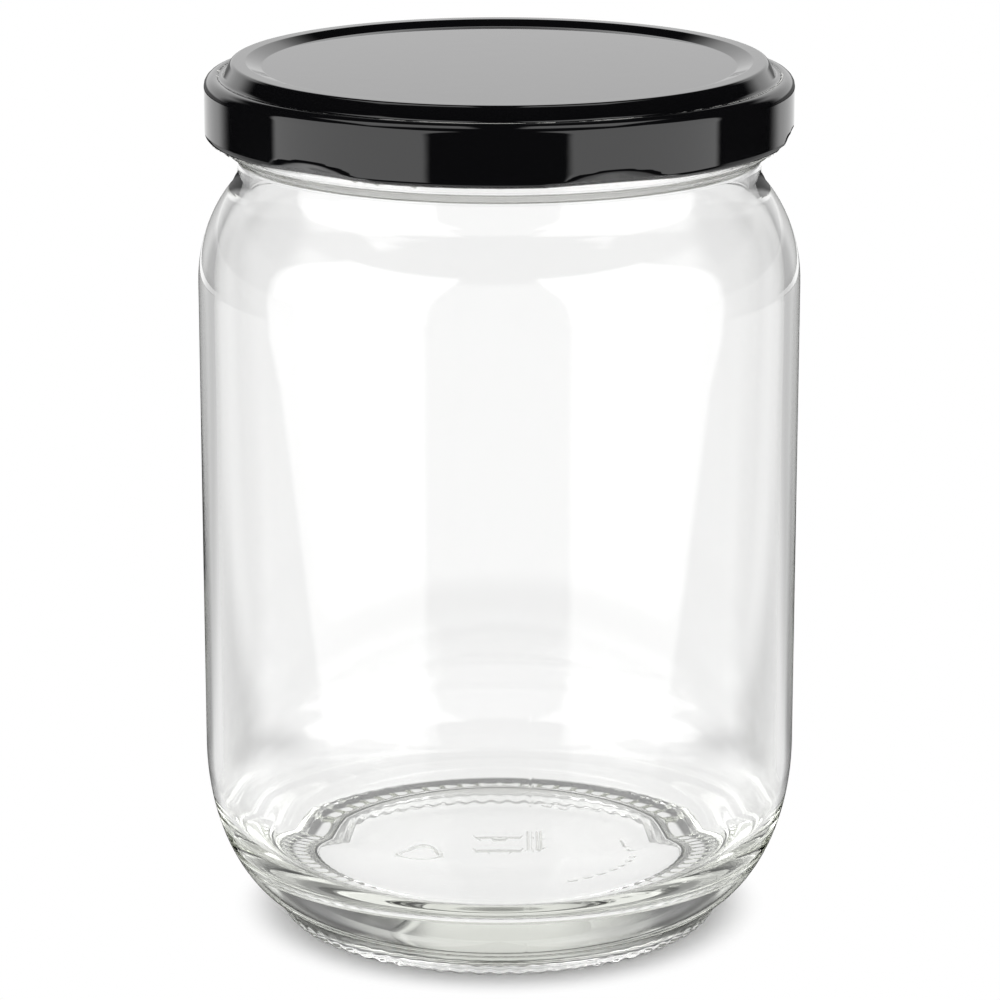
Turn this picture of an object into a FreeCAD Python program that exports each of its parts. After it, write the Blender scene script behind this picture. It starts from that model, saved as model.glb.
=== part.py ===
import FreeCAD, Part
import math
import os

# Twist-off glass jar with its pressed steel lid screwed on.
# Millimetres, +Z up, origin at the centre of the plane the jar stands on.
# Azimuths are in degrees from the front (-Y), and grow towards +X.
# Every piece is a body of revolution about Z, but for the sloping ridges of the
# glass finish and the lugs pressed inward from the lid's rolled edge.

# ---- Glass: body ----------------------------------------------------------
GLASS_H = 127.85          # standing plane to the top of the glass rim
BODY_R = 44.05            # outside radius of the straight wall
WALL = 2.3                # straight wall

# ---- Glass: foot and base -------------------------------------------------
RING_R = 30.4             # middle of the flat ring that the jar stands on
RING_W = 1.4              # width of that flat ring
RING_ROUND = 1.5          # rounding on both sides of the ring
FOOT_R = 34.2             # lower edge of the heel curve
FOOT_H = 3.4              # height of that edge
HEEL_TOP = 26.4           # where the heel curve runs into the straight wall
HEEL_SWEEP = 72.5         # degrees of ellipse in the heel curve
PUSH_UP = 2.9             # middle of the base above the standing plane
PUSH_UP_RIM = 2.4         # edge of that dome above the standing plane
PUSH_UP_INSET = 3.6       # edge of that dome inside the middle of the ring
DOME_FLAT_R = 8.0         # flat middle of the base and of the floor
FLOOR_T = 8.1             # glass over the middle of the dome
FLOOR_CROWN = 0.25        # middle of the floor above the floor's edge
INNER_HEEL_REACH = 7.8    # inside heel curve, across
INNER_HEEL_RISE = 11.5    # and up

# ---- Glass: shoulder and neck ---------------------------------------------
SHOULDER_H = 15.1         # top of the straight wall to the neck
SHOULDER_SWEEP = 51.2     # degrees of ellipse in the shoulder curve
SHOULDER_WALL = 2.3       # glass in the shoulder
NECK_IN = 1.2             # narrowest outside radius, inside the finish wall
NECK_UNDER = 5.2          # middle of the bead down to the lower end of the neck
NECK_FILLET = 1.2         # hollow between the shoulder and the neck
BORE_FILLET = 3.0         # rounding where the mouth opens into the body

# ---- Glass: finish, which the lid grips -----------------------------------
FINISH_R = 39.3           # wall behind the ridges
FINISH_WALL = 3.2         # glass between that wall and the bore of the mouth
RIM_ROUND = 1.3           # rounding on both edges of the rim
BEAD_OUT = 1.3            # corner of the bead, before its rounding, out of that wall
BEAD_ROUND = 1.0          # rounding of the bead and of the hollow under it
BEAD_BELOW = 1.2          # underside of the lid to the middle of the bead
BEAD_UNDER = 2.4          # height of the bead's lower slope
BEAD_OVER = 1.5           # height of its upper slope
RIDGES = 6                # sloping ridges
RIDGE_OUT = 1.7           # how far a ridge stands out of the finish wall
RIDGE_T = 1.7             # thickness of a ridge
RIDGE_SINK = 0.3          # how deep its middle line lies in the wall
RIDGE_SPAN = 47.0         # degrees of the neck that a ridge takes
RIDGE_FALL = 4.2          # how far it falls over that span
RIDGE_LOW_BELOW = 0.5     # underside of the lid to the middle of a ridge's low end
RIDGE_AZ = 37.5           # low end of the first ridge

# ---- Lid ------------------------------------------------------------------
LID_PLAY = 1.5            # tips of the ridges to the inside of the skirt
LID_H = 10.85             # top of the raised ring to the underside of the rolled edge
SHEET = 0.25              # lacquered steel sheet
PANEL_IN = 1.7            # edge of the flat panel inside the bore
PANEL_DEPTH = 0.77        # flat panel below the top of the raised ring
RING_IN = 0.6             # raised ring over the rim, inner corner outside the bore
RING_OUT = 0.5            # and outer corner inside the finish wall
VALLEY_OUT = 0.85         # hollow round the raised ring, outside the finish wall
VALLEY_DEPTH = 2.35       # hollow below the top of the raised ring
LID_RIM_DEPTH = 1.25      # corner of the lid's rim below the top of the raised ring
LID_RIM_ROUND = 1.5       # rounding of the lid's rim into the skirt
BEND = 0.6                # rounding of every other bend in the top
CURL_PLAY = 0.15          # tips of the ridges to the rolled edge
CURL_SLIT = 0.35          # free end of the roll to the inside of the skirt
LUGS = 6                  # lugs pressed inward from the rolled edge
LUG_SPAN = 21.0           # degrees of the rolled edge that a lug takes
LUG_AZ = 22.0             # middle of the first lug
LUG_GAP = 0.55            # tip of a lug to the finish wall
LUG_T = 1.35              # thickness of a lug
LUG_DENT = 1.3            # how far a lug's dent rises up the skirt
LUG_UNDER = 1.3           # how far a lug's lower edge is pressed in from the skirt
LUG_ROUND = 0.6           # bends of a lug
DENT_ROUND = 0.8          # bend of the skirt into the dent

# ---- Sealing ring ---------------------------------------------------------
SEAL_T = 0.9              # lining compound between the lid and the glass rim
SEAL_GAP = 0.4            # its flat top to the bends on both sides of the raised ring
SEAL_INSET = 0.2          # its inner edge outside the bore
SEAL_FLARE = 0.3          # how much wider it is at the rim, outward

# ---- Fineness of the shaped stretches -------------------------------------
HEM_POINTS = 30
LUG_SECTIONS = 9
RIDGE_SECTIONS = 11

FUSE_TOLERANCE = 1e-4     # pieces this near count as touching when they are fused
STRAIGHT = 1e-6            # radians of turn below which a corner is no corner

AXIS = FreeCAD.Vector(0, 0, 1)
CENTRE = FreeCAD.Vector(0, 0, 0)

# ---- Sizes that follow from others ----------------------------------------
def tied(size):
    """A size that follows from others, to a ten-thousandth of a millimetre."""
    return round(size, 4)


BORE_R = tied(FINISH_R - FINISH_WALL)
NECK_R = tied(FINISH_R - NECK_IN)
BEAD_R = tied(FINISH_R + BEAD_OUT)
LID_R = tied(FINISH_R + RIDGE_OUT + LID_PLAY + SHEET)
CURL_D = tied(LID_PLAY + SHEET - CURL_PLAY)
PANEL_R = tied(BORE_R - PANEL_IN)
RING_IN_R = tied(BORE_R + RING_IN)
RING_OUT_R = tied(FINISH_R - RING_OUT)
VALLEY_R = tied(FINISH_R + VALLEY_OUT)
SKIRT_DROP = tied(LID_H - SEAL_T - SHEET)
BEAD_DROP = tied(SKIRT_DROP + BEAD_BELOW)
RIDGE_LOW_DROP = tied(SKIRT_DROP + RIDGE_LOW_BELOW)
NECK_DROP = tied(BEAD_DROP + NECK_UNDER)
TOP_Z = GLASS_H + SEAL_T + SHEET
LID_BASE_Z = TOP_Z - LID_H
DENT_Z = LID_BASE_Z + LUG_DENT
HEM_TOP_Z = DENT_Z + DENT_ROUND


def point(r, z):
    """Point of a section, at radius r and height z in the XZ plane."""
    return FreeCAD.Vector(r, 0, z)


def line(start, end):
    """Straight edge between two (r, z) places."""
    return Part.makeLine(point(*start), point(*end))


def ellipse_place(centre, reach, rise, angle):
    """(r, z) place on an upright ellipse; the angle runs from +r towards +Z."""
    swing = math.radians(angle)
    return centre[0] + reach * math.cos(swing), centre[1] + rise * math.sin(swing)


def ellipse_edge(centre, reach, rise, start, end):
    """Edge on an upright ellipse between two angles, given as in ellipse_place."""
    side = point(centre[0] + reach, centre[1])
    top = point(centre[0], centre[1] + rise)
    if reach >= rise:
        ellipse = Part.Ellipse(side, top, point(*centre))
        first, last = math.radians(start), math.radians(end)
    else:
        ellipse = Part.Ellipse(top, side, point(*centre))
        first, last = math.radians(90 - end), math.radians(90 - start)
    return Part.ArcOfEllipse(ellipse, first, last).toShape()


def rounding(before, corner, after, radius):
    """Start, halfway point and end of the arc that rounds a corner."""
    back = (before - corner).normalize()
    ahead = (after - corner).normalize()
    half = back.getAngle(ahead) / 2
    setback = radius / math.tan(half)
    inward = (back + ahead).normalize()
    halfway = corner + inward * (radius / math.sin(half) - radius)
    return corner + back * setback, halfway, corner + ahead * setback


def outline(corners):
    """Edges of an open outline through (r, z, rounding) corners."""
    places = [point(r, z) for r, z, _ in corners]
    edges = []
    here = places[0]
    for index in range(1, len(corners) - 1):
        before, place, after = places[index - 1:index + 2]
        if (place - before).getAngle(after - place) < STRAIGHT:
            continue
        start, halfway, end = rounding(before, place, after, corners[index][2])
        edges.append(Part.makeLine(here, start))
        edges.append(Part.Arc(start, halfway, end).toShape())
        here = end
    edges.append(Part.makeLine(here, places[-1]))
    return edges


def dome(middle_z, rim_r, rim_z):
    """Edges of a shallow dome: flat middle, then an arc that falls to its rim."""
    across = rim_r - DOME_FLAT_R
    height = middle_z - rim_z
    radius = (across ** 2 + height ** 2) / (2 * height)
    half = math.asin(across / radius) / 2
    halfway = (DOME_FLAT_R + radius * math.sin(half),
               middle_z - radius * (1 - math.cos(half)))
    arc = Part.Arc(point(DOME_FLAT_R, middle_z), point(*halfway), point(rim_r, rim_z))
    return [line((0, middle_z), (DOME_FLAT_R, middle_z)), arc.toShape()]


def face(edges):
    """Flat face inside a closed chain of edges, given in any order."""
    return Part.Face(Part.Wire(Part.__sortEdges__(edges)))


def turned(shape, azimuth):
    """Copy of a shape made in the XZ plane, turned to an azimuth."""
    copy = shape.copy()
    copy.rotate(CENTRE, AXIS, azimuth - 90)
    return copy


def one_solid(pieces):
    """Pieces that touch, fused into a single clean solid."""
    fused = pieces[0].multiFuse(pieces[1:], FUSE_TOLERANCE).removeSplitter()
    assert len(fused.Solids) == 1, f"{len(fused.Solids)} solids instead of one"
    return fused.Solids[0]


def rounded_at(solid, radius, r, z):
    """Solid with the circular edge at radius r and height z rounded."""
    place = point(r, z)
    ring = [edge for edge in solid.Edges
            if not edge.Degenerated and edge.isClosed()
            and edge.Vertexes[0].Point.distanceToPoint(place) < 1e-4]
    return solid.makeFillet(radius, ring)


# ---- Glass ----------------------------------------------------------------

def heel_and_wall():
    """Outside edges from the foot ring up to the top of the straight wall."""
    turn = math.radians(HEEL_SWEEP)
    reach = (BODY_R - FOOT_R) / (1 - math.cos(turn))
    rise = (HEEL_TOP - FOOT_H) / math.sin(turn)
    ring_edge = RING_R + RING_W / 2
    foot = outline([(RING_R, 0, 0),
                    (ring_edge + RING_ROUND, 0, RING_ROUND),
                    (FOOT_R, FOOT_H, 0)])
    heel = ellipse_edge((BODY_R - reach, HEEL_TOP), reach, rise, -HEEL_SWEEP, 0)
    wall = line((BODY_R, HEEL_TOP), (BODY_R, wall_top()))
    return foot + [heel, wall]


def wall_top():
    """Height at which the straight wall ends and the shoulder starts."""
    return GLASS_H - NECK_DROP - SHOULDER_H


def shoulder_ellipse(thickness=0.0):
    """Centre, reach and rise of the shoulder curve, moved in by a thickness."""
    turn = math.radians(SHOULDER_SWEEP)
    reach = (BODY_R - NECK_R) / (1 - math.cos(turn))
    rise = SHOULDER_H / math.sin(turn)
    return (BODY_R - reach, wall_top()), reach - thickness, rise - thickness


def finish():
    """Outside edges of the shoulder and neck, the rim, and the mouth down to its end."""
    shoulder = ellipse_edge(*shoulder_ellipse(), 0, SHOULDER_SWEEP)
    bead_z = GLASS_H - BEAD_DROP
    neck = outline([(NECK_R, GLASS_H - NECK_DROP, 0),
                    (NECK_R, bead_z - BEAD_UNDER, BEAD_ROUND),
                    (BEAD_R, bead_z, BEAD_ROUND),
                    (FINISH_R, bead_z + BEAD_OVER, BEAD_ROUND / 2),
                    (FINISH_R, GLASS_H, RIM_ROUND),
                    (BORE_R, GLASS_H, RIM_ROUND),
                    (BORE_R, mouth_end(), 0)])
    return [shoulder] + neck


def mouth_angle():
    """Angle of the inside shoulder curve at which it meets the mouth."""
    centre, reach, _ = shoulder_ellipse(SHOULDER_WALL)
    return math.degrees(math.acos((BORE_R - centre[0]) / reach))


def mouth_end():
    """Height at which the straight mouth meets the inside of the shoulder."""
    return ellipse_place(*shoulder_ellipse(SHOULDER_WALL), mouth_angle())[1]


def inside():
    """Edges of the hollow from the end of the mouth down to the middle of the floor."""
    shoulder = ellipse_edge(*shoulder_ellipse(SHOULDER_WALL), 0, mouth_angle())
    centre, reach, _ = shoulder_ellipse(SHOULDER_WALL)
    inner_r = BODY_R - WALL
    floor_edge = (inner_r - INNER_HEEL_REACH, floor_z() - FLOOR_CROWN)
    heel_centre = (floor_edge[0], floor_edge[1] + INNER_HEEL_RISE)
    heel = ellipse_edge(heel_centre, INNER_HEEL_REACH, INNER_HEEL_RISE, -90, 0)
    wall = line((inner_r, heel_centre[1]), (centre[0] + reach, centre[1]))
    return [shoulder, wall, heel] + dome(floor_z(), *floor_edge)


def floor_z():
    """Height of the middle of the floor inside the jar."""
    return PUSH_UP + FLOOR_T


def push_up():
    """Edges of the base, from the middle of its dome down to the foot ring."""
    dome_rim = (RING_R - PUSH_UP_INSET, PUSH_UP_RIM)
    ring_edge = RING_R - RING_W / 2
    foot = outline([(*dome_rim, 0),
                    (ring_edge - RING_ROUND / 2, 0, RING_ROUND),
                    (RING_R, 0, 0)])
    axis_edge = line((0, PUSH_UP), (0, floor_z()))
    return dome(PUSH_UP, *dome_rim) + [axis_edge] + foot


def ridge():
    """One sloping ridge of the finish, whose ends sink into the wall behind it."""
    sections = []
    for index in range(RIDGE_SECTIONS):
        along = (1 - math.cos(math.pi * index / (RIDGE_SECTIONS - 1))) / 2
        swell = 0.1 + 0.9 * (1 - (2 * along - 1) ** 6) ** 0.5
        z = GLASS_H - RIDGE_LOW_DROP + RIDGE_FALL * along
        middle = point(FINISH_R - RIDGE_SINK, z)
        side = middle + point((RIDGE_OUT + RIDGE_SINK) * swell, 0)
        top = middle + point(0, RIDGE_T / 2 * swell)
        ring = Part.Wire(Part.Ellipse(side, top, middle).toShape())
        sections.append(turned(ring, RIDGE_SPAN * along))
    return Part.makeLoft(sections, True)


def jar():
    """The glass: hollow, open at the mouth, with its ridges."""
    section = face(heel_and_wall() + finish() + inside() + push_up())
    glass = section.revolve(CENTRE, AXIS, 360)
    glass = rounded_at(glass, NECK_FILLET, NECK_R, GLASS_H - NECK_DROP)
    glass = rounded_at(glass, BORE_FILLET, BORE_R, mouth_end())
    ridges = [ridge() for _ in range(RIDGES)]
    for index, piece in enumerate(ridges):
        piece.rotate(CENTRE, AXIS, RIDGE_AZ + index * 360 / RIDGES)
    return one_solid([glass] + ridges)


# ---- Lid ------------------------------------------------------------------

def moved_in(corners, distance):
    """Corners of an outline moved by a distance to its right-hand side."""
    places = [point(r, z) for r, z, _ in corners]
    ways = [(b - a).normalize() for a, b in zip(places, places[1:])]
    sides = [FreeCAD.Vector(way.z, 0, -way.x) for way in ways]
    moved = []
    for index, place in enumerate(places):
        before = sides[max(index - 1, 0)]
        after = sides[min(index, len(sides) - 1)]
        shift = (before + after) * (distance / (1 + before.dot(after)))
        moved.append(place + shift)
    result = []
    for index, (place, corner) in enumerate(zip(moved, corners)):
        radius = corner[2]
        if 0 < index < len(corners) - 1:
            turn = ways[index - 1].cross(ways[index]).y
            radius += distance if turn < 0 else -distance
        result.append((place.x, place.z, radius))
    return result


def top_corners():
    """Outside of the lid, from the middle of its panel to the top of its hem."""
    return [(0, TOP_Z - PANEL_DEPTH, 0),
            (PANEL_R, TOP_Z - PANEL_DEPTH, BEND),
            (RING_IN_R, TOP_Z, BEND),
            (RING_OUT_R, TOP_Z, BEND),
            (VALLEY_R, TOP_Z - VALLEY_DEPTH, BEND),
            (LID_R, TOP_Z - LID_RIM_DEPTH, LID_RIM_ROUND),
            (LID_R, HEM_TOP_Z, 0)]


def lid_top():
    """Pressed panel, raised ring, rim and skirt down to the hem."""
    outside = top_corners()
    under = moved_in(outside, SHEET)
    ends = [line(outside[0][:2], under[0][:2]), line(outside[-1][:2], under[-1][:2])]
    section = face(outline(outside) + outline(under) + ends)
    return section.revolve(CENTRE, AXIS, 360)


def hem_corners(press):
    """Outside of the rolled edge; press runs from 0, a plain roll, to 1, a lug."""
    roll_in = LID_R - CURL_D
    roll_top = LID_BASE_Z + CURL_D
    roll_round = CURL_D / 2 - 0.01
    tip_r = FINISH_R + LUG_GAP
    lug_top = LID_BASE_Z + LUG_T
    under_r = LID_R - LUG_UNDER
    plain = [(LID_R, HEM_TOP_Z, 0),
             (LID_R, DENT_Z, DENT_ROUND),
             (LID_R, LID_BASE_Z, roll_round),
             (roll_in, LID_BASE_Z, roll_round),
             (roll_in, roll_top, roll_round),
             (LID_R - SHEET - CURL_SLIT, roll_top, 0)]
    pressed = [(LID_R, HEM_TOP_Z, 0),
               (LID_R, DENT_Z, DENT_ROUND),
               (under_r, LID_BASE_Z, LUG_ROUND),
               (tip_r, LID_BASE_Z, LUG_ROUND),
               (tip_r, lug_top, LUG_ROUND),
               (under_r, lug_top, 0)]
    pairs = zip(plain, pressed)
    return [tuple(a + press * (b - a) for a, b in zip(*pair)) for pair in pairs]


def hem_section(press):
    """Closed section of the sheet along the rolled edge, as two smooth sides."""
    edge = Part.Wire(outline(hem_corners(press)))
    outside = edge.discretize(Number=HEM_POINTS)
    under = []
    for index, place in enumerate(outside):
        before = outside[max(index - 1, 0)]
        after = outside[min(index + 1, HEM_POINTS - 1)]
        way = (after - before).normalize()
        under.append(place + FreeCAD.Vector(way.z, 0, -way.x) * SHEET)
    sides = []
    for places in (outside, under):
        curve = Part.BSplineCurve()
        curve.interpolate(places)
        sides.append(curve.toShape())
    return Part.Wire([Part.makeLine(under[0], outside[0]), sides[0],
                      Part.makeLine(outside[-1], under[-1]), sides[1]])


def lug():
    """One lug, lofted round its stretch of the rolled edge."""
    sections = []
    for index in range(LUG_SECTIONS):
        along = index / (LUG_SECTIONS - 1)
        press = math.sin(math.pi * along)
        sections.append(turned(hem_section(press), LUG_SPAN * (along - 0.5)))
    return Part.makeLoft(sections, True)


def lid():
    """The lid: pressed top and skirt, rolled edge and lugs, in one sheet."""
    pieces = [lid_top()]
    pitch = 360 / LUGS
    roll = Part.Face(hem_section(0)).revolve(CENTRE, AXIS, pitch - LUG_SPAN)
    for index in range(LUGS):
        azimuth = LUG_AZ + index * pitch
        pressed = lug()
        pressed.rotate(CENTRE, AXIS, azimuth)
        pieces.append(pressed)
        pieces.append(turned(roll, azimuth + LUG_SPAN / 2))
    return one_solid(pieces)


# ---- Sealing ring ---------------------------------------------------------

def seal():
    """Ring of lining compound, flat on the rim and under the lid's raised ring."""
    under = moved_in(top_corners(), SHEET)
    flat_in = under[2][0] + SEAL_GAP
    flat_out = under[3][0] - SEAL_GAP
    inner_r = BORE_R + SEAL_INSET
    outer_r = flat_out + SEAL_FLARE
    waist_z = GLASS_H + SEAL_T / 2
    top_z = GLASS_H + SEAL_T
    places = [(inner_r, GLASS_H), (inner_r, waist_z), (flat_in, top_z),
              (flat_out, top_z), (outer_r, waist_z), (outer_r, GLASS_H)]
    edges = [line(*pair) for pair in zip(places, places[1:] + places[:1])]
    return face(edges).revolve(CENTRE, AXIS, 360)


os.makedirs("parts", exist_ok=True)
for name, shape in (("jar", jar()), ("lid", lid()), ("seal", seal())):
    shape.exportStep(f"parts/{name}.step")
    print(name, shape.isValid(), len(shape.Solids), round(shape.Volume, 1))
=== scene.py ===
import logging
import math
from collections.abc import Callable, Sequence
from dataclasses import dataclass, field
from enum import Enum

import bpy
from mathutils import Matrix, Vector


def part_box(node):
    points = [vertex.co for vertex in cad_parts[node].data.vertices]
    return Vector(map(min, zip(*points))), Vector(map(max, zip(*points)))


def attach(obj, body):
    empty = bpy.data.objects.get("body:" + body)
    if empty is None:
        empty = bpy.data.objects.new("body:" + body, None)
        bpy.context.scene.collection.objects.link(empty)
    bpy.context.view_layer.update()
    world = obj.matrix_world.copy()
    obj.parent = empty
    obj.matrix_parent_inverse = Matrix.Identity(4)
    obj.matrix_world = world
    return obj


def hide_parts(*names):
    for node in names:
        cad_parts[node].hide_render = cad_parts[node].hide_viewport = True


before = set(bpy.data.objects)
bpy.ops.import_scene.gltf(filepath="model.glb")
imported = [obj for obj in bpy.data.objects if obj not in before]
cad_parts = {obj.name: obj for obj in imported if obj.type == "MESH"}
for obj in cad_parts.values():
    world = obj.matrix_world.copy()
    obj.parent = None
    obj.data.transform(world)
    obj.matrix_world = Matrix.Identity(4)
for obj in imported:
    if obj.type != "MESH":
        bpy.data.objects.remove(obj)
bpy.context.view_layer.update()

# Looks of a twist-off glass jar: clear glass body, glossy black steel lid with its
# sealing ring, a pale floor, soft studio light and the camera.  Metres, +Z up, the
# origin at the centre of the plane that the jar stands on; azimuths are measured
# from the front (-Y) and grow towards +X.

log = logging.getLogger("jar")

MM = 0.001
AXIS = (0.0, 0.0, 1.0)
CENTRE = (0.0, 0.0, 0.0)
SAME_PLACE = 0.002 * MM
Place = tuple[float, float]
Colour = tuple[float, float, float, float]


class Along(Enum):
    """Direction in which a relief is raised."""

    NORMAL = "NORMAL"
    UP = "Z"


# ---- Sections -------------------------------------------------------------

def ellipse(centre: Place, reach: float, rise: float, start: float, end: float,
            steps: int) -> list[Place]:
    """Places along an upright ellipse.

    Args:
        centre: Middle of the ellipse, as radius and height.
        reach: Half width.
        rise: Half height.
        start: First angle in degrees, from outward towards up.
        end: Last angle in degrees.
        steps: Number of stretches between the two.

    Returns:
        One more place than steps, both ends included.
    """
    places = []
    for index in range(steps + 1):
        angle = math.radians(start + (end - start) * index / steps)
        places.append((centre[0] + reach * math.cos(angle),
                       centre[1] + rise * math.sin(angle)))
    return places


def straight(start: Place, end: Place, steps: int) -> list[Place]:
    """Places along a straight stretch.

    Args:
        start: First place.
        end: Last place.
        steps: Number of equal stretches.

    Returns:
        One more place than steps, both ends included.
    """
    return [(start[0] + (end[0] - start[0]) * index / steps,
             start[1] + (end[1] - start[1]) * index / steps)
            for index in range(steps + 1)]


def rounded(corners: Sequence[tuple[float, float, float]], steps: int,
            guard: float = 0.2 * MM) -> list[Place]:
    """Open outline through corners, each turned into an arc.

    Args:
        corners: Radius, height and rounding of each corner; the ends have none.
        steps: Stretches in each arc.
        guard: Distance of an extra place on the straight next to each arc, which
            keeps the arc's shading off the straight.

    Returns:
        The outline's places in order.
    """
    places = [Vector(corner[:2]) for corner in corners]
    result = [tuple(places[0])]
    for index in range(1, len(corners) - 1):
        before, here, after = places[index - 1:index + 2]
        back = (before - here).normalized()
        ahead = (after - here).normalized()
        half = back.angle(ahead) / 2
        radius = corners[index][2]
        setback = radius / math.tan(half)
        middle = here + (back + ahead).normalized() * (radius / math.sin(half))
        first = here + back * setback - middle
        last = here + ahead * setback - middle
        turn = first.angle_signed(last)
        result.append(tuple(here + back * (setback + guard)))
        for step in range(steps + 1):
            swing = -turn * step / steps
            cosine, sine = math.cos(swing), math.sin(swing)
            result.append((middle.x + first.x * cosine - first.y * sine,
                           middle.y + first.x * sine + first.y * cosine))
        result.append(tuple(here + ahead * (setback + guard)))
    result.append(tuple(places[-1]))
    return result


def joined(*stretches: Sequence[Place]) -> list[Place]:
    """Chain stretches of an outline, leaving out places that fall together.

    Args:
        stretches: Stretches in order, each starting where the last one ended.

    Returns:
        One outline.
    """
    result: list[Place] = []
    for stretch in stretches:
        for place in stretch:
            if not result or math.dist(result[-1], place) > 2 * SAME_PLACE:
                result.append(place)
    return result


# ---- Modelling ------------------------------------------------------------

def deselect() -> None:
    """Leave nothing selected in object mode."""
    if bpy.context.object and bpy.context.object.mode != "OBJECT":
        bpy.ops.object.mode_set(mode="OBJECT")
    bpy.ops.object.select_all(action="DESELECT")


def select_only(piece: bpy.types.Object) -> None:
    """Make a piece the only selected and the active one.

    Args:
        piece: The object.
    """
    deselect()
    bpy.context.view_layer.objects.active = piece
    piece.select_set(True)


def lathe(name: str, outline: Sequence[Place], steps: int, closed: bool) -> bpy.types.Object:
    """Turn an outline about the axis, as on a lathe.

    Args:
        name: Name of the new piece.
        outline: Radius and height of each place of the section.
        steps: Stretches round the axis.
        closed: Whether the outline's last place joins its first.

    Returns:
        The new object, smooth, with its faces pointing outward.
    """
    deselect()
    bpy.ops.mesh.primitive_plane_add(size=MM, location=CENTRE)
    piece = bpy.context.object
    piece.name = name
    piece.data.name = name
    bpy.ops.object.mode_set(mode="EDIT")
    bpy.ops.mesh.select_mode(type="VERT")
    bpy.ops.mesh.select_all(action="SELECT")
    bpy.ops.mesh.merge(type="CENTER")
    first = outline[0]
    bpy.ops.transform.translate(value=(first[0], 0, first[1]))
    path = list(outline[1:]) + ([first] if closed else [])
    here = first
    for place in path:
        step = (place[0] - here[0], 0, place[1] - here[1])
        bpy.ops.mesh.extrude_region_move(TRANSFORM_OT_translate={"value": step})
        here = place
    bpy.ops.mesh.select_all(action="SELECT")
    bpy.ops.mesh.spin(steps=steps, angle=math.tau, center=CENTRE, axis=AXIS)
    bpy.ops.mesh.select_all(action="SELECT")
    bpy.ops.mesh.remove_doubles(threshold=SAME_PLACE)
    bpy.ops.mesh.normals_make_consistent(inside=False)
    bpy.ops.object.mode_set(mode="OBJECT")
    bpy.ops.object.shade_smooth()
    return piece


def azimuth_of(place: Vector) -> float:
    """Azimuth of a place.

    Args:
        place: The place.

    Returns:
        Degrees from the front, growing towards +X.
    """
    return math.degrees(math.atan2(place.x, -place.y))


def cut_radially(piece: bpy.types.Object, azimuth: float, shift: float) -> None:
    """Cut edges into a mesh along an upright plane beside the axis.

    Args:
        piece: The object.
        azimuth: Azimuth of the plane in degrees.
        shift: Sideways distance of the plane from the axis.
    """
    swing = math.radians(azimuth)
    side = Vector((math.cos(swing), math.sin(swing), 0))
    select_only(piece)
    bpy.ops.object.mode_set(mode="EDIT")
    bpy.ops.mesh.select_all(action="SELECT")
    bpy.ops.mesh.bisect(plane_co=side * shift, plane_no=side, threshold=SAME_PLACE)
    bpy.ops.object.mode_set(mode="OBJECT")


def refine(piece: bpy.types.Object, near: Callable[[Vector], bool], cuts: int) -> None:
    """Subdivide the faces whose middle lies near something.

    Args:
        piece: The object.
        near: Tells whether a place is near enough.
        cuts: Cuts across each face.
    """
    select_only(piece)
    bpy.ops.object.mode_set(mode="EDIT")
    bpy.ops.mesh.select_mode(type="FACE")
    bpy.ops.mesh.select_all(action="DESELECT")
    bpy.ops.object.mode_set(mode="OBJECT")
    for face in piece.data.polygons:
        face.select = near(face.center)
    bpy.ops.object.mode_set(mode="EDIT")
    bpy.ops.mesh.subdivide(number_cuts=cuts)
    bpy.ops.object.mode_set(mode="OBJECT")


def weigh(piece: bpy.types.Object, name: str, weight: Callable[[Vector], float]) -> int:
    """Give a piece a vertex group whose weights follow a rule.

    Args:
        piece: The object.
        name: Name of the group.
        weight: Weight, from 0 to 1, for a place of the mesh.

    Returns:
        How many vertices got a weight.
    """
    least = 1e-4
    group = piece.vertex_groups.new(name=name)
    count = 0
    for vertex in piece.data.vertices:
        value = weight(vertex.co)
        if value > least:
            group.add([vertex.index], min(value, 1.0), "REPLACE")
            count += 1
    return count


def raise_by(piece: bpy.types.Object, name: str, height: float,
             weight: Callable[[Vector], float], along: Along = Along.NORMAL) -> None:
    """Raise part of a surface, with the relief built into the mesh.

    Args:
        piece: The object.
        name: Name of the relief.
        height: Height where the weight is 1, below zero to sink it.
        weight: Weight for a place of the mesh.
        along: Direction in which it is raised.
    """
    count = weigh(piece, name, weight)
    select_only(piece)
    modifier = piece.modifiers.new(name, "DISPLACE")
    modifier.vertex_group = name
    modifier.direction = along.value
    modifier.mid_level = 0.0
    modifier.strength = height
    bpy.ops.object.modifier_apply(modifier=name)
    piece.vertex_groups.remove(piece.vertex_groups[name])
    log.info("%s: %s over %d vertices", piece.name, name, count)


def step_up(value: float, low: float, high: float) -> float:
    """Smooth rise of a number.

    Args:
        value: The number.
        low: Where the rise starts.
        high: Where it ends.

    Returns:
        0 up to low, 1 from high on.
    """
    share = min(max((value - low) / (high - low), 0.0), 1.0)
    return share * share * (3 - 2 * share)


def bump(distance: float, half_width: float) -> float:
    """Height of a rounded bump.

    Args:
        distance: Distance from the bump's middle.
        half_width: Distance at which it ends.

    Returns:
        1 in the middle, 0 at the end and past it.
    """
    share = abs(distance) / half_width
    return math.sqrt(1 - share * share) if share < 1 else 0.0


# ---- Shader nodes ---------------------------------------------------------

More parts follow.
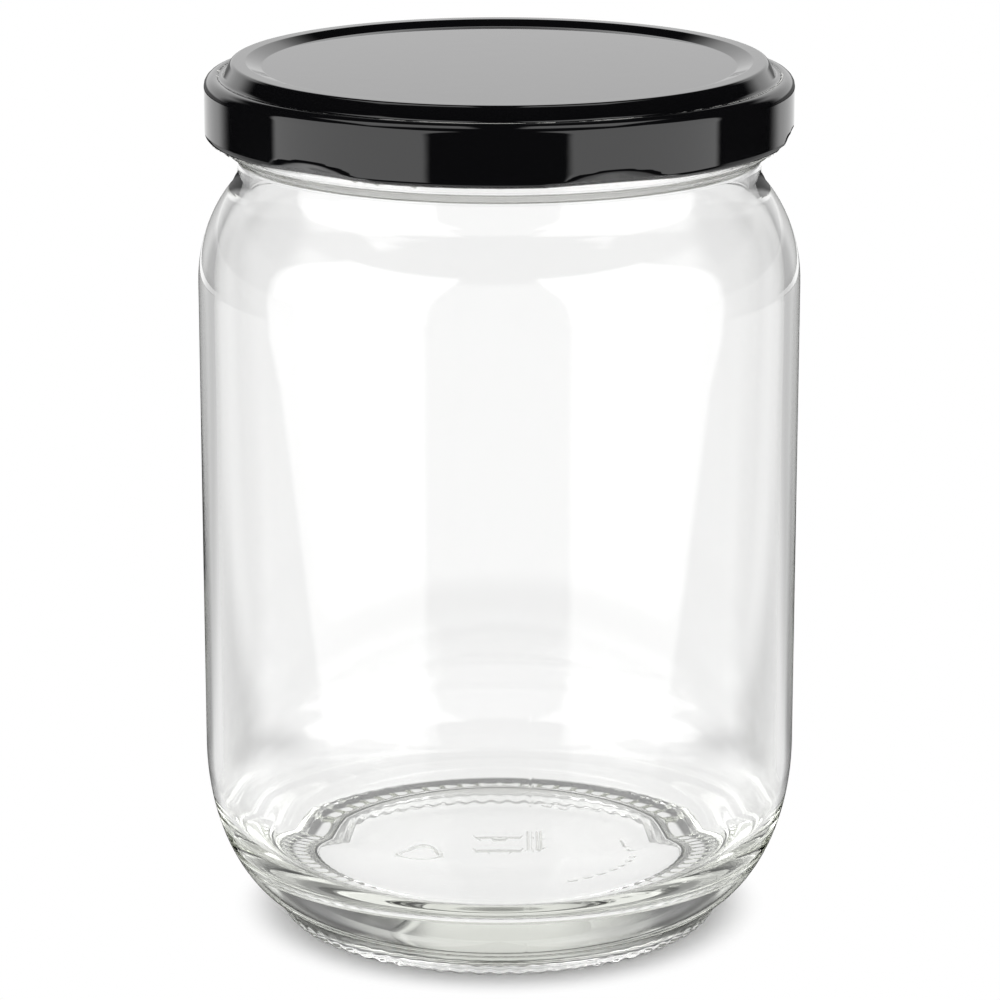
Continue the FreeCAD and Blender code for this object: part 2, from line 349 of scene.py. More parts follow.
class Value:
    """A node socket on which arithmetic adds Math nodes."""

    def __init__(self, nodes: "Nodes", socket: bpy.types.NodeSocket) -> None:
        """Wrap a socket of a node tree."""
        self.nodes = nodes
        self.socket = socket

    def _math(self, operation: str, *values: "Value | float") -> "Value":
        """Add a Math node."""
        return self.nodes.add("ShaderNodeMath", {"operation": operation}, dict(enumerate(values)))

    def __add__(self, other: "Value | float") -> "Value":
        """Sum."""
        return self._math("ADD", self, other)

    __radd__ = __add__

    def __sub__(self, other: "Value | float") -> "Value":
        """Difference."""
        return self._math("SUBTRACT", self, other)

    def __rsub__(self, other: float) -> "Value":
        """Difference from a number."""
        return self._math("SUBTRACT", other, self)

    def __mul__(self, other: "Value | float") -> "Value":
        """Product."""
        return self._math("MULTIPLY", self, other)

    __rmul__ = __mul__

    def __truediv__(self, other: "Value | float") -> "Value":
        """Quotient."""
        return self._math("DIVIDE", self, other)

    def rise(self, low: "Value | float", high: "Value | float") -> "Value":
        """Smooth step from 0 at low to 1 at high."""
        return self.nodes.add("ShaderNodeMapRange", {"interpolation_type": "SMOOTHSTEP"},
                              {0: self, 1: low, 2: high, 3: 0.0, 4: 1.0})

    def within(self, low: "Value | float", high: "Value | float", soft: float) -> "Value":
        """1 between low and high, with edges of the given softness."""
        return self.rise(low - soft, low + soft) * (1 - self.rise(high - soft, high + soft))

    def at_least(self, low: float) -> "Value":
        """The larger of this and low."""
        return self._math("MAXIMUM", self, low)

    def size(self) -> "Value":
        """This without its sign."""
        return self._math("ABSOLUTE", self)

    def degrees(self, operation: str, *others: "Value | float") -> "Value":
        """Angle in degrees that an inverse function gives for this and other values."""
        return self._math(operation, self, *others) * (180 / math.pi)


class Nodes:
    """Builder for one node tree."""

    def __init__(self, tree: bpy.types.NodeTree) -> None:
        """Empty a node tree and start on it."""
        self.tree = tree
        tree.nodes.clear()

    def add(self, kind: str, settings: dict | None = None, inputs: dict | None = None,
            output: int | str = 0) -> Value:
        """Add a node.

        Args:
            kind: The node's type.
            settings: Properties of the node, set before its sockets.
            inputs: Value or link of each input socket, by name or number.
            output: The output socket to return.

        Returns:
            The wanted output socket.
        """
        node = self.tree.nodes.new(kind)
        for name, value in (settings or {}).items():
            setattr(node, name, value)
        for key, value in (inputs or {}).items():
            if isinstance(value, Value):
                self.tree.links.new(value.socket, node.inputs[key])
            else:
                node.inputs[key].default_value = value
        return Value(self, node.outputs[output]) if len(node.outputs) else None

    def several(self, kind: str, outputs: Sequence[int | str],
                inputs: dict | None = None) -> list[Value]:
        """Add a node and take several of its outputs.

        Args:
            kind: The node's type.
            outputs: Names or numbers of the output sockets.
            inputs: Value or link of each input socket.

        Returns:
            The wanted output sockets in order.
        """
        node = self.add(kind, {}, inputs, outputs[0]).socket.node
        return [Value(self, node.outputs[output]) for output in outputs]

    def noise(self, scale: float, detail: float, roughness: float) -> Value:
        """Add noise that stays with the object.

        Args:
            scale: Waves in a metre.
            detail: Number of finer layers.
            roughness: Strength of each finer layer.

        Returns:
            The noise, from 0 to 1.
        """
        place = self.add("ShaderNodeTexCoord", output="Object")
        return self.add("ShaderNodeTexNoise", {}, {"Vector": place, "Scale": scale,
                                                   "Detail": detail, "Roughness": roughness})

    def relief(self, height: Value, strength: float, distance: float) -> Value:
        """Add a bump to the shading.

        Args:
            height: Height, from 0 to 1.
            strength: Strength of the bump.
            distance: Depth that the height stands for.

        Returns:
            The bent normal.
        """
        return self.add("ShaderNodeBump", {}, {"Strength": strength, "Distance": distance,
                                               "Height": height})


def material(name: str) -> tuple[bpy.types.Material, Nodes]:
    """New material with an empty tree.

    Args:
        name: Name of the material.

    Returns:
        The material and the builder of its tree.
    """
    made = bpy.data.materials.new(name)
    made.use_nodes = True
    return made, Nodes(made.node_tree)


@dataclass(frozen=True)
class ClearGlass:
    """Bottle glass: clear, faintly wavy, with an olive cast where it is thick."""

    refraction: float = 1.52
    tint: Colour = (0.80, 0.84, 0.70, 1.0)
    density: float = 6.0
    wave_scale: float = 22.0
    wave_strength: float = 0.03
    wave_depth: float = 2.0 * MM

    def make(self) -> bpy.types.Material:
        """Build the material.

        Returns:
            The material.
        """
        made, nodes = material("clear_glass")
        waves = nodes.noise(self.wave_scale, 1.0, 0.4)
        normal = nodes.relief(waves, self.wave_strength, self.wave_depth)
        surface = nodes.add("ShaderNodeBsdfPrincipled", {"distribution": "MULTI_GGX"},
                            {"Base Color": (1, 1, 1, 1), "Roughness": 0.0,
                             "IOR": self.refraction, "Transmission Weight": 1.0,
                             "Normal": normal})
        depth = nodes.add("ShaderNodeVolumeAbsorption", {}, {"Color": self.tint,
                                                             "Density": self.density})
        nodes.add("ShaderNodeOutputMaterial", {}, {"Surface": surface, "Volume": depth})
        return made


@dataclass(frozen=True)
class BlackLacquer:
    """Glossy black lacquer on tinplate, with the faint unevenness of sprayed coats."""

    colour: Colour = (0.0035, 0.0035, 0.004, 1.0)
    roughness: float = 0.035
    peel_scale: float = 260.0
    peel_strength: float = 0.015
    peel_depth: float = 0.4 * MM
    wear_scale: float = 60.0

    def make(self) -> bpy.types.Material:
        """Build the material.

        Returns:
            The material.
        """
        made, nodes = material("black_lacquer")
        peel = nodes.noise(self.peel_scale, 2.0, 0.5)
        normal = nodes.relief(peel, self.peel_strength, self.peel_depth)
        wear = nodes.noise(self.wear_scale, 3.0, 0.6)
        surface = nodes.add("ShaderNodeBsdfPrincipled", {},
                            {"Base Color": self.colour,
                             "Roughness": self.roughness * (0.7 + wear * 0.6),
                             "IOR": 1.5, "Normal": normal})
        nodes.add("ShaderNodeOutputMaterial", {}, {"Surface": surface})
        return made


@dataclass(frozen=True)
class InnerLacquer:
    """Pale food-safe lacquer on the lid's inside."""

    colour: Colour = (0.78, 0.78, 0.75, 1.0)
    roughness: float = 0.3
    wear_scale: float = 80.0

    def make(self) -> bpy.types.Material:
        """Build the material.

        Returns:
            The material.
        """
        made, nodes = material("inner_lacquer")
        wear = nodes.noise(self.wear_scale, 3.0, 0.6)
        surface = nodes.add("ShaderNodeBsdfPrincipled", {},
                            {"Base Color": self.colour,
                             "Roughness": self.roughness * (0.8 + wear * 0.4), "IOR": 1.5})
        nodes.add("ShaderNodeOutputMaterial", {}, {"Surface": surface})
        return made


@dataclass(frozen=True)
class LiningCompound:
    """Soft matt sealing compound."""

    colour: Colour = (0.70, 0.68, 0.62, 1.0)
    roughness: float = 0.55
    grain_scale: float = 900.0
    grain_strength: float = 0.2
    grain_depth: float = 0.2 * MM

    def make(self) -> bpy.types.Material:
        """Build the material.

        Returns:
            The material.
        """
        made, nodes = material("lining_compound")
        grain = nodes.noise(self.grain_scale, 2.0, 0.5)
        normal = nodes.relief(grain, self.grain_strength, self.grain_depth)
        surface = nodes.add("ShaderNodeBsdfPrincipled", {},
                            {"Base Color": self.colour,
                             "Roughness": self.roughness + grain * 0.15,
                             "IOR": 1.5, "Normal": normal})
        nodes.add("ShaderNodeOutputMaterial", {}, {"Surface": surface})
        return made


def dress(piece: bpy.types.Object, finishes: Sequence[bpy.types.Material],
          node: str) -> None:
    """Give a piece its finishes and its body, and hide the CAD node that it replaces.

    Args:
        piece: The object.
        finishes: Its materials, in the order of its faces' material numbers.
        node: The CAD node that it replaces.
    """
    for finish in finishes:
        piece.data.materials.append(finish)
    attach(piece, "root")
    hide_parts(node)
    log.info("%s: %d faces", piece.name, len(piece.data.polygons))


# ---- Glass ----------------------------------------------------------------

@dataclass(frozen=True)
class Mark:
    """A plain raised stroke on the base, or a ring where its ends fall together."""

    start: Place
    end: Place
    ring: float = 0.0

    def distance(self, place: Vector) -> float:
        """Distance from the mark's middle line, seen from above.

        Args:
            place: The place.

        Returns:
            The distance.
        """
        here, start = Vector((place.x, place.y)), Vector(self.start)
        along = Vector(self.end) - start
        length = along.length_squared
        share = min(max((here - start).dot(along) / length, 0), 1) if length else 0.0
        return abs((here - start - along * share).length - self.ring)


def mould_marks(circle: float) -> list[Mark]:
    """Plain marks of a glass mould: strokes, a ring and dots along a circle.

    Args:
        circle: Radius of the circle that the dots follow.

    Returns:
        The marks.
    """
    ring_centre = (-12.0 * MM, 1.6 * MM)
    half_dot = 0.45 * MM
    marks = [Mark(ring_centre, ring_centre, 3.1 * MM)]
    marks += [Mark((-3.5 * MM, y), (3.1 * MM, y)) for y in (5.4 * MM, 2.7 * MM)]
    marks += [Mark((x, 3.0 * MM), (x, 6.7 * MM)) for x in (4.6 * MM, 6.0 * MM)]
    for azimuth in (33, 41, 49, 58, 66, 75, 84, 100, 109, 150, 158):
        swing = math.radians(azimuth)
        out = Vector((math.sin(swing), -math.cos(swing)))
        aside = Vector((out.y, -out.x)) * half_dot
        marks.append(Mark(tuple(out * circle - aside), tuple(out * circle + aside)))
    return marks


@dataclass
class GlassBody:
    """The glass jar: foot, heel, wall, shoulder, neck, finish and hollow."""

    radius: float
    height: float
    wall: float = 2.3 * MM
    ring_radius: float = 30.4 * MM
    ring_width: float = 1.4 * MM
    ring_round: float = 1.5 * MM
    foot_radius: float = 34.2 * MM
    foot_height: float = 3.4 * MM
    heel_top: float = 26.4 * MM
    heel_sweep: float = 72.5
    push_up: float = 2.9 * MM
    push_up_rim: float = 2.4 * MM
    push_up_inset: float = 2.4 * MM
    dome_flat: float = 8.0 * MM
    floor_thickness: float = 8.1 * MM
    floor_crown: float = 0.25 * MM
    inner_heel_reach: float = 7.8 * MM
    inner_heel_rise: float = 11.5 * MM
    shoulder_height: float = 15.1 * MM
    shoulder_sweep: float = 51.2
    shoulder_wall: float = 2.3 * MM
    neck_radius: float = 38.1 * MM
    neck_drop: float = 16.1 * MM
    neck_round: float = 1.2 * MM
    bore_radius: float = 36.1 * MM
    bore_round: float = 3.0 * MM
    finish_radius: float = 39.3 * MM
    rim_round: float = 1.3 * MM
    bead_radius: float = 40.6 * MM
    bead_round: float = 1.0 * MM
    bead_drop: float = 10.9 * MM
    bead_under: float = 1.5 * MM
    bead_over: float = 1.5 * MM
    ridges: int = 6
    ridge_out: float = 1.7 * MM
    ridge_thickness: float = 1.7 * MM
    ridge_span: float = 47.0
    ridge_fall: float = 4.2 * MM
    ridge_low_drop: float = 9.8 * MM
    ridge_azimuth: float = 37.5
    bars: int = 68
    bar_height: float = 0.3 * MM
    columns_in_a_bar: int = 5
    mark_circle: float = 20.0 * MM
    mark_height: float = 0.22 * MM
    mark_core: float = 0.1 * MM
    mark_edge: float = 0.42 * MM
    mark_near: float = 0.8 * MM
    mark_cuts: int = 4
    base_play: float = 0.3 * MM
    seam_azimuth: float = 6.0
    seam_width: float = 0.22 * MM
    seam_height: float = 0.05 * MM
    seam_fade_low: float = 45.0 * MM
    seam_fade_high: float = 80.0 * MM
    seam_fade: float = 0.8
    seam_play: float = 0.02 * MM
    wall_play: float = 0.5 * MM
    heel_play: float = 0.02
    marks: list[Mark] = field(init=False)

    def __post_init__(self) -> None:
        """Lay out the marks."""
        self.marks = mould_marks(self.mark_circle)

    def dome(self, middle_z: float, rim_r: float, rim_z: float, flat_steps: int,
             steps: int) -> list[Place]:
        """Shallow dome from the axis out to its rim.

        Args:
            middle_z: Height of its flat middle.
            rim_r: Radius of its rim.
            rim_z: Height of its rim.
            flat_steps: Stretches across the flat middle.
            steps: Stretches outside the flat middle.

        Returns:
            Places from the axis outward.
        """
        across = rim_r - self.dome_flat
        height = middle_z - rim_z
        radius = (across ** 2 + height ** 2) / (2 * height)
        sweep = math.degrees(math.asin(across / radius))
        arc = ellipse((self.dome_flat, middle_z - radius), radius, radius, 90, 90 - sweep, steps)
        return joined(straight((0.0, middle_z), (self.dome_flat, middle_z), flat_steps), arc)

    def wall_top(self) -> float:
        """Height where the straight wall ends."""
        return self.height - self.neck_drop - self.shoulder_height

    def shoulder(self, thickness: float) -> tuple[Place, float, float]:
        """Curve of the shoulder.

        Args:
            thickness: How far it is moved in from the outside.

        Returns:
            Its centre, reach and rise.
        """
        turn = math.radians(self.shoulder_sweep)
        reach = (self.radius - self.neck_radius) / (1 - math.cos(turn))
        rise = self.shoulder_height / math.sin(turn)
        return (self.radius - reach, self.wall_top()), reach - thickness, rise - thickness

    def heel(self) -> tuple[Place, float, float]:
        """Outer curve of the heel.

        Returns:
            Its centre, reach and rise.
        """
        turn = math.radians(self.heel_sweep)
        reach = (self.radius - self.foot_radius) / (1 - math.cos(turn))
        rise = (self.heel_top - self.foot_height) / math.sin(turn)
        return (self.radius - reach, self.heel_top), reach, rise

    def foot(self) -> list[Place]:
        """Base and foot ring.

        Returns:
            Places from the axis to the lower end of the heel curve.
        """
        rim = (self.ring_radius - self.push_up_inset, self.push_up_rim)
        inner = self.ring_radius - self.ring_width / 2 - self.ring_round / 2
        outer = self.ring_radius + self.ring_width / 2 + self.ring_round
        ring = rounded([(*rim, 0), (inner, 0, self.ring_round), (outer, 0, self.ring_round),
                        (self.foot_radius, self.foot_height, 0)], 6)
        return joined(self.dome(self.push_up, *rim, 8, 20), ring)

    def outside(self) -> list[Place]:
        """Heel, wall, shoulder, neck and finish.

        Returns:
            Places from the foot up to the rim and into the mouth.
        """
        heel = ellipse(*self.heel(), -self.heel_sweep, 0, 24)
        wall = straight((self.radius, self.heel_top), (self.radius, self.wall_top()), 8)
        shoulder = ellipse(*self.shoulder(0.0), 0, self.shoulder_sweep - 4, 18)
        neck_z = self.height - self.neck_drop + self.neck_round
        bead_z = self.height - self.bead_drop
        finish_top = (self.finish_radius, self.height - 1.6 * self.rim_round, 0)
        neck = rounded([(self.neck_radius, neck_z, 0),
                        (self.neck_radius, bead_z - self.bead_under, self.bead_round),
                        (self.bead_radius, bead_z, self.bead_round),
                        (self.finish_radius, bead_z + self.bead_over, self.bead_round / 2),
                        finish_top], 5)
        finish = straight(neck[-2], neck[-1], 26)
        rim = rounded([finish_top,
                       (self.finish_radius, self.height, self.rim_round),
                       (self.bore_radius, self.height, self.rim_round),
                       (self.bore_radius, self.height - 2 * self.rim_round, 0)], 6)
        return joined(heel, wall, shoulder, neck[:-1], finish, rim)

    def hollow(self) -> list[Place]:
        """Mouth and the inside of the shoulder, wall, heel and floor.

        Returns:
            Places from the mouth down to the axis.
        """
        centre, reach, rise = self.shoulder(self.shoulder_wall)
        meet = math.degrees(math.acos((self.bore_radius - centre[0]) / reach))
        mouth_end = centre[1] + rise * math.sin(math.radians(meet))
        mouth = straight((self.bore_radius, self.height - 2 * self.rim_round),
                         (self.bore_radius, mouth_end + self.bore_round / 2), 4)
        shoulder = ellipse(centre, reach, rise, meet - 7, 0, 12)
        inner = self.radius - self.wall
        floor_z = self.push_up + self.floor_thickness
        edge = (inner - self.inner_heel_reach, floor_z - self.floor_crown)
        heel_centre = (edge[0], edge[1] + self.inner_heel_rise)
        wall = straight(shoulder[-1], (inner, heel_centre[1]), 6)
        heel = ellipse(heel_centre, self.inner_heel_reach, self.inner_heel_rise, 0, -90, 22)
        floor = self.dome(floor_z, *edge, 3, 6)[::-1]
        return joined(mouth, shoulder, wall, heel, floor)

    def ridge_weight(self, place: Vector) -> float:
        """How far the finish ridges raise the wall, as ovals that slope and taper at both ends.

        Args:
            place: A place of the surface.

        Returns:
            Weight from 0 to 1.
        """
        low_z = self.height - self.ridge_low_drop
        too_low = place.z < low_z - self.ridge_thickness
        if too_low or math.hypot(place.x, place.y) < self.neck_radius:
            return 0.0
        pitch = 360 / self.ridges
        along = ((azimuth_of(place) - self.ridge_azimuth) % pitch) / self.ridge_span
        if along >= 1:
            return 0.0
        swell = (1 - (2 * along - 1) ** 6) ** 0.5
        middle = low_z + self.ridge_fall * along
        return swell * bump(place.z - middle, self.ridge_thickness / 2 * (0.4 + 0.6 * swell))

    def on_base(self, place: Vector) -> bool:
        """Whether a place lies on the underside, inside the circle of the marks."""
        inside = math.hypot(place.x, place.y) < self.mark_circle + 2 * MM
        return inside and place.z < self.push_up + self.base_play

    def mark_distance(self, place: Vector) -> float:
        """Distance of a place from the nearest mark."""
        return min(mark.distance(place) for mark in self.marks)

    def near_mark(self, place: Vector) -> bool:
        """Whether a face's middle lies close to a mark on the base."""
        return self.on_base(place) and self.mark_distance(place) < self.mark_near

    def mark_weight(self, place: Vector) -> float:
        """How far the plain mould marks on the base stand out.

        Args:
            place: A place of the surface.

        Returns:
            Weight from 0 to 1.
        """
        if not self.on_base(place):
            return 0.0
        return 1 - step_up(self.mark_distance(place), self.mark_core, self.mark_edge)

    def on_heel(self, place: Vector) -> bool:
        """Tell whether a place lies on the heel's outer curve.

        Args:
            place: A place of the surface.

        Returns:
            Whether it does.
        """
        centre, reach, rise = self.heel()
        across = (math.hypot(place.x, place.y) - centre[0]) / reach
        up = (place.z - centre[1]) / rise
        return place.z < self.heel_top and abs(across * across + up * up - 1) < self.heel_play

    def seam_weight(self, place: Vector) -> float:
        """How far the two mould seams stand out of the heel and the wall.

        Args:
            place: A place of the surface.

        Returns:
            Weight from 0 to 1, less towards the shoulder.
        """
        swing = math.radians(self.seam_azimuth)
        aside = abs(place.x * math.cos(swing) + place.y * math.sin(swing))
        if aside > self.seam_play or not self.foot_height <= place.z < self.wall_top():
            return 0.0
        radius = math.hypot(place.x, place.y)
        on_wall = radius > self.radius - self.wall + self.wall_play
        near_foot = radius >= self.neck_radius - 1 * MM and self.on_heel(place)
        if not on_wall and not near_foot:
            return 0.0
        return 1 - step_up(place.z, self.seam_fade_low, self.seam_fade_high) * self.seam_fade

    def bar_weight(self, place: Vector) -> float:
        """How far the foot ring's bars stand down.

        Args:
            place: A place of the surface.

        Returns:
            Weight from 0 to 1.
        """
        radius = math.hypot(place.x, place.y)
        low = self.ring_radius - self.ring_width / 2 - self.ring_round
        high = self.ring_radius + self.ring_width / 2 + self.ring_round
        if place.z > self.ring_round or not low < radius < high + self.wall_play:
            return 0.0
        swing = azimuth_of(place) * self.bars / 360
        return 0.5 - 0.5 * math.cos(math.tau * swing)

    def make(self) -> bpy.types.Object:
        """Model the glass.

        Returns:
            The glass, with its ridges, bars, marks and seams.
        """
        outline = joined(self.foot(), self.outside(), self.hollow())
        piece = lathe("glass_body", outline, self.bars * self.columns_in_a_bar, False)
        raise_by(piece, "finish_ridges", self.ridge_out, self.ridge_weight)
        raise_by(piece, "foot_bars", self.bar_height, self.bar_weight, Along.UP)
        refine(piece, self.near_mark, self.mark_cuts)
        raise_by(piece, "base_marks", self.mark_height, self.mark_weight)
        for shift in (-self.seam_width, 0.0, self.seam_width):
            cut_radially(piece, self.seam_azimuth, shift)
        raise_by(piece, "mould_seams", self.seam_height, self.seam_weight)
        return piece


# ---- Lid ------------------------------------------------------------------

@dataclass
class SteelLid:
    """The pressed lid: panel, raised ring, rim, skirt, rolled edge and lugs."""

    radius: float
    top: float
    base: float
    sheet: float = 0.25 * MM
    panel_radius: float = 34.4 * MM
    panel_depth: float = 0.77 * MM
    ring_in: float = 36.7 * MM
    ring_out: float = 38.8 * MM
    valley_radius: float = 40.15 * MM
    valley_depth: float = 2.35 * MM
    rim_depth: float = 1.25 * MM
    rim_round: float = 1.5 * MM
    bend: float = 0.6 * MM
    curl: float = 1.6 * MM
    curl_slit: float = 0.35 * MM
    lugs: int = 6
    lug_span: float = 27.0
    lug_azimuth: float = 22.0
    lug_press: float = 1.3 * MM
    dent: float = 1.9 * MM
    dent_blend: float = 0.6
    columns: int = 480

    def outside(self) -> list[Place]:
        """Outer side of the sheet.

        Returns:
            Places from the panel's middle to the roll's free end.
        """
        rounding = self.curl / 2 - 0.01 * MM
        inner = self.radius - self.curl
        skirt_top = (self.radius, self.top - self.rim_depth - 2 * self.rim_round)
        skirt_end = (self.radius, self.base + self.curl)
        top = rounded([(0.0, self.top - self.panel_depth, 0.0),
                       (self.panel_radius, self.top - self.panel_depth, self.bend),
                       (self.ring_in, self.top, self.bend),
                       (self.ring_out, self.top, self.bend),
                       (self.valley_radius, self.top - self.valley_depth, self.bend),
                       (self.radius, self.top - self.rim_depth, self.rim_round),
                       (*skirt_top, 0.0)], 6)
        hem = rounded([(*skirt_end, 0.0),
                       (self.radius, self.base, rounding),
                       (inner, self.base, rounding),
                       (inner, self.base + self.curl, rounding),
                       (self.radius - self.sheet - self.curl_slit, self.base + self.curl, 0.0)], 8)
        return joined(top, straight(skirt_top, skirt_end, 14), hem)

    def press_weight(self, place: Vector) -> float:
        """How far a lug presses the hem in, with a dent in the skirt above it.

        Args:
            place: A place of the sheet.

        Returns:
            Weight from 0 to 1.
        """
        radius = math.hypot(place.x, place.y)
        height = (place.z - self.base) / self.dent
        if radius < self.radius - 2 * self.curl or height > 1:
            return 0.0
        pitch = 360 / self.lugs
        offset = (azimuth_of(place) - self.lug_azimuth + pitch / 2) % pitch - pitch / 2
        if abs(offset) >= self.lug_span / 2:
            return 0.0
        across = math.cos(math.pi * offset / self.lug_span)
        on_skirt = radius > self.radius - 0.05 * MM
        return across * step_up(across - height, 0, 1) ** self.dent_blend if on_skirt else across

    def make(self) -> bpy.types.Object:
        """Model the lid.

        Returns:
            The lid, with its inside on the second material.
        """
        piece = lathe("steel_lid", self.outside(), self.columns, False)
        select_only(piece)
        self.press_lugs(piece)
        outer_faces = len(piece.data.polygons)
        wall = piece.modifiers.new("sheet", "SOLIDIFY")
        wall.thickness = self.sheet
        wall.offset = -1.0
        bpy.ops.object.modifier_apply(modifier="sheet")
        for face in piece.data.polygons[outer_faces:]:
            face.material_index = 1
        return piece

    def press_lugs(self, piece: bpy.types.Object) -> None:
        """Press the lugs in from the hem, as a shape that a vertex group limits.

        Args:
            piece: The lid before its sheet gets its thickness.
        """
        weigh(piece, "lugs", self.press_weight)
        bpy.ops.object.shape_key_add(from_mix=False)
        bpy.ops.object.shape_key_add(from_mix=False)
        key = piece.data.shape_keys.key_blocks[-1]
        piece.active_shape_key_index = len(piece.data.shape_keys.key_blocks) - 1
        bpy.ops.object.mode_set(mode="EDIT")
        bpy.ops.mesh.select_all(action="SELECT")
        share = 1 - self.lug_press / self.radius
        bpy.ops.transform.resize(value=(share, share, 1), center_override=CENTRE)
        bpy.ops.object.mode_set(mode="OBJECT")
        key.vertex_group = "lugs"
        key.value = 1.0
        bpy.ops.object.shape_key_remove(all=True, apply_mix=True)
        piece.vertex_groups.clear()


# ---- Sealing ring ---------------------------------------------------------

@dataclass
class SealingRing:
    """Ring of compound between the lid and the glass rim."""

    inner: float
    outer: float
    low: float
    high: float
    soft: float = 0.25 * MM
    columns: int = 240

    def make(self) -> bpy.types.Object:
        """Model the ring.

        Returns:
            The ring.
        """
        middle = (self.inner + self.outer) / 2
        outline = rounded([(middle, self.low, 0), (self.outer, self.low, self.soft / 2),
                           (self.outer, self.high, self.soft),
                           (self.inner, self.high, self.soft),
                           (self.inner, self.low, self.soft / 2), (middle, self.low, 0)], 4)
        return lathe("sealing_ring", outline[:-1], self.columns, True)


# ---- Studio ---------------------------------------------------------------

@dataclass(frozen=True)
class Stretch:
    """Part of a scale, such as degrees, metres or a share of a direction."""

    low: float
    high: float
    soft: float = 0.0

    def holds(self, value: Value) -> Value:
        """1 inside the stretch, fading to 0 over its soft ends."""
        return value.within(self.low, self.high, self.soft)

    def passed(self, value: Value) -> Value:
        """Rise from 0 where the stretch starts to 1 where it ends."""
        return value.rise(self.low, self.high)


@dataclass(frozen=True)
class Sheen:
    """Brightness of what clear glass shows, by the azimuth without its sign."""

    beside: float = 1.9
    past_boxes: Stretch = Stretch(88.0, 104.0)
    past_boxes_loss: float = 1.0
    past_side: Stretch = Stretch(128.0, 142.0)
    past_side_loss: float = 0.38
    behind: Stretch = Stretch(148.0, 157.0)
    behind_gain: float = 0.36

    def at(self, turn: Value) -> Value:
        """Brightness at an azimuth.

        Args:
            turn: Azimuth without its sign, in degrees.

        Returns:
            Bright towards the soft boxes, darkest a little aside of straight behind.
        """
        return (self.beside - self.past_boxes_loss * self.past_boxes.passed(turn)
                - self.past_side_loss * self.past_side.passed(turn)
                + self.behind_gain * self.behind.passed(turn))


@dataclass(frozen=True)
class Floor:
    """Pale floor that keeps a tight shadow and looks plain white past it.

    Under the jar, rays through the glass see the floor at a painted, slightly shaded level,
    with a thin dark ring of painted shade where the foot stands. Farther out they see a
    painted sheen that glows brighter or dimmer by the azimuth.
    """

    size: float = 12.0
    paint: float = 0.98
    brightest: float = 2.0
    shadow: Stretch = Stretch(32 * MM, 40.5 * MM)
    # Painted shade: brightness of the floor under the jar for rays through the glass, with a dark
    # ring painted where the foot stands.
    under: float = 0.9
    ring: Stretch = Stretch(31.6 * MM, 33.6 * MM, 0.4 * MM)
    painted_ring_shade: float = 0.8
    far: Stretch = Stretch(60 * MM, 90 * MM)

    def finish(self) -> bpy.types.Material:
        """Build the floor's material.

        Returns:
            The material.
        """
        made, nodes = material("floor_paint")
        place = nodes.add("ShaderNodeTexCoord", output="Object")
        away = nodes.add("ShaderNodeVectorMath", {"operation": "LENGTH"}, {0: place}, "Value")
        x, y = nodes.several("ShaderNodeSeparateXYZ", (0, 1), {0: place})
        direct, through = nodes.several("ShaderNodeLightPath",
                                        ("Is Camera Ray", "Is Transmission Ray"))
        # Painted shade under the jar, seen only through the glass: a slightly darker level and a
        # thin dark ring where the foot stands.
        under = self.under - self.painted_ring_shade * self.ring.holds(away)
        # Painted sheen: far out, rays through the glass see the floor glow by the azimuth,
        # brighter than white towards the front sides and dimmer behind, though the floor is no
        # lamp.
        sheen = Sheen().at(x.degrees("ARCTAN2", 0 - y).size())
        far = self.far.passed(away)
        glow = direct + through * (far * sheen + (1 - far) * under)
        white = direct * self.shadow.passed(away) + through
        level = (self.paint, self.paint, self.paint, 1)
        matt = nodes.add("ShaderNodeBsdfDiffuse", {}, {"Color": level})
        unlit = nodes.add("ShaderNodeEmission", {}, {"Strength": 0.0})
        bright = nodes.add("ShaderNodeEmission", {}, {"Strength": self.brightest})
        glowing = nodes.add("ShaderNodeMixShader", {}, {0: glow * (1 / self.brightest),
                                                        1: unlit, 2: bright})
        surface = nodes.add("ShaderNodeMixShader", {}, {0: white, 1: matt, 2: glowing})
        nodes.add("ShaderNodeOutputMaterial", {}, {"Surface": surface})
        return made

    def make(self) -> None:
        """Lay the floor."""
        deselect()
        bpy.ops.mesh.primitive_circle_add(vertices=96, radius=self.size / 2,
                                          fill_type="NGON", location=CENTRE)
        ground = bpy.context.object
        ground.name = "floor"
        ground.data.materials.append(self.finish())
        ground.visible_glossy = False


